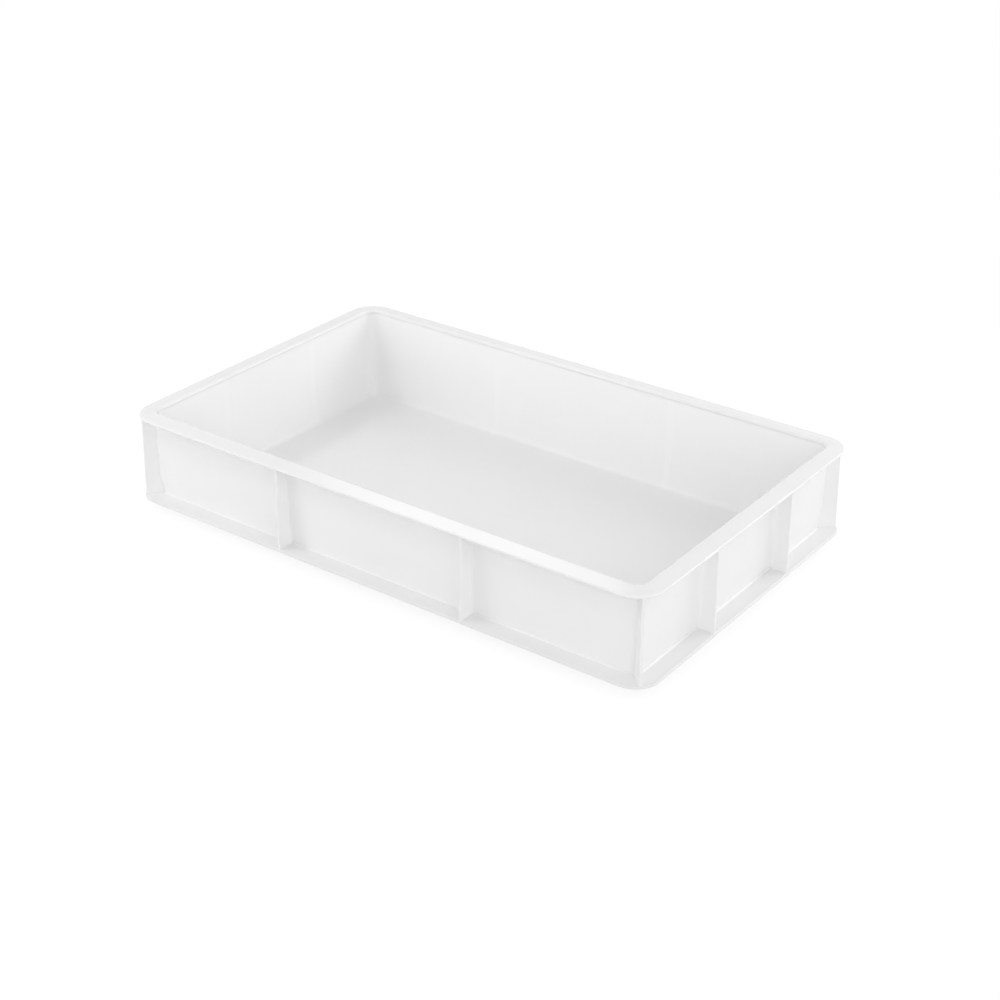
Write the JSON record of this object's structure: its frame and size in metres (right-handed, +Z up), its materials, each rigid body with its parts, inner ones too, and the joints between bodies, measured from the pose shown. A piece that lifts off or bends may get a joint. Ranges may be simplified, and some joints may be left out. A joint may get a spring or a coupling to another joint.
{
  "type": "dough proofing tray",
  "caption": "Open rectangular stacking tray with a smooth coved basin, outward rim, ribbed sides and base flange, for proofing dough portions.",
  "frame": {"origin": "centre of the foot's underside, on the surface that the tray stands on", "axes": "+X along the long side, +Y along the short side towards the back, +Z up out of the open top"},
  "size_m": [0.53, 0.325, 0.091],
  "materials": {
    "moulding": "satin"
  },
  "bodies": {
    "root": {"basin": "moulding", "stacking_rim": "moulding", "base_flange": "moulding", "rib_front_left": "moulding", "rib_front_right": "moulding", "rib_back_left": "moulding", "rib_back_right": "moulding", "rib_left_front": "moulding", "rib_left_back": "moulding", "rib_right_front": "moulding", "rib_right_back": "moulding", "corner_rib_front_left": "moulding", "corner_rib_front_right": "moulding", "corner_rib_back_left": "moulding", "corner_rib_back_right": "moulding"}
  },
  "joints": []
}
